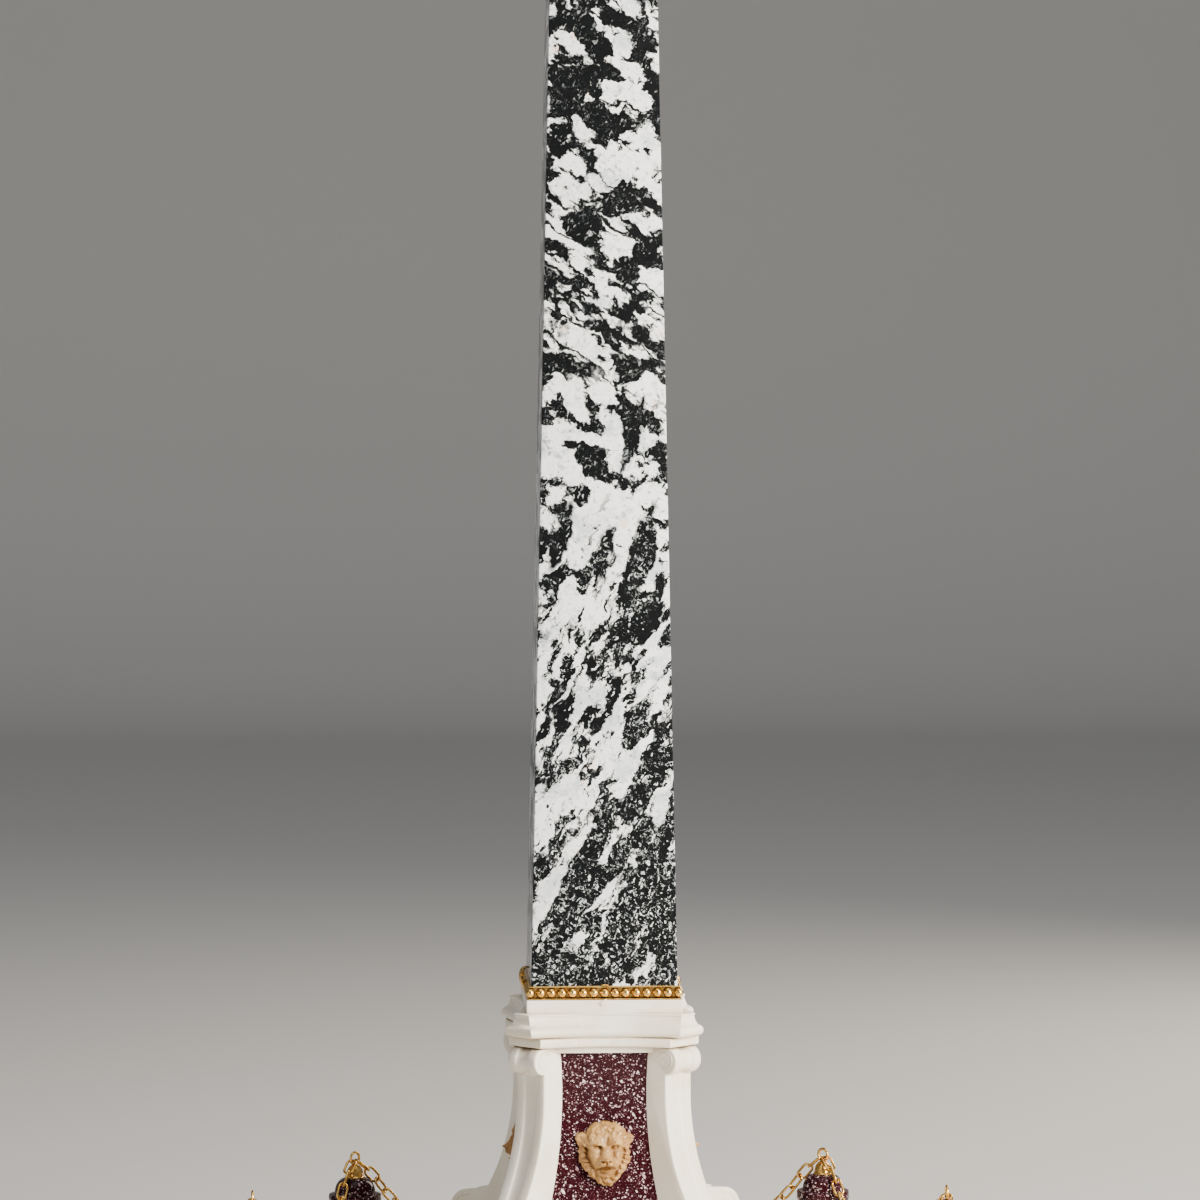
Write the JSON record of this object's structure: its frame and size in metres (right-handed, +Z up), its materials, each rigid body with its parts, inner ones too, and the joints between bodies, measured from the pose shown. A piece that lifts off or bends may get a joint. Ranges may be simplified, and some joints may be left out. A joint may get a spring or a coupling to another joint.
{
  "type": "table obelisk on a scrolled pedestal with chained bollards",
  "caption": "Ornamental table obelisk: tapered granite shaft on a scrolled marble pedestal with lion masks, ringed by chained bollards on a round base.",
  "frame": {"origin": "middle of the underside of the round base, on the surface it stands on", "axes": "+Z up along the shaft, -Y towards the front panel, +X to the right seen from the front"},
  "size_m": [0.4345, 0.4344, 0.916],
  "materials": {
    "granite": "polished black and white granite",
    "white_marble": "honed warm white marble",
    "porphyry": "polished purple porphyry with pale crystals",
    "yellow_marble": "satin pale yellow marble",
    "gilt_metal": "polished gilt bronze"
  },
  "bodies": {
    "root": {"base_foot": "white_marble", "base_drum": "porphyry", "base_slab": "white_marble", "round_step": "white_marble", "lower_plinth": "porphyry", "upper_plinth": "white_marble", "pedestal_core": "white_marble", "frieze_strip": "white_marble", "leg_front_left": "white_marble", "leg_front_right": "white_marble", "leg_back_left": "white_marble", "leg_back_right": "white_marble", "panel_front": "porphyry", "panel_right": "porphyry", "panel_back": "porphyry", "panel_left": "porphyry", "lion_mask_front": "yellow_marble", "lion_mask_right": "yellow_marble", "lion_mask_back": "yellow_marble", "lion_mask_left": "yellow_marble", "cornice": "white_marble", "beaded_collar": "gilt_metal", "leaf_left": "gilt_metal", "leaf_right": "gilt_metal", "leaf_back": "gilt_metal", "leaf_stub_front": "gilt_metal", "shaft": "granite", "bollard_1": "porphyry", "bollard_2": "porphyry", "bollard_3": "porphyry", "bollard_4": "porphyry", "bollard_5": "porphyry", "bollard_6": "porphyry", "bollard_7": "porphyry", "bollard_8": "porphyry", "caps_and_eyes": "gilt_metal", "chain_1": "gilt_metal", "chain_2": "gilt_metal", "chain_3": "gilt_metal", "chain_4": "gilt_metal", "chain_5": "gilt_metal", "chain_6": "gilt_metal", "chain_7": "gilt_metal", "chain_8": "gilt_metal"}
  },
  "joints": []
}
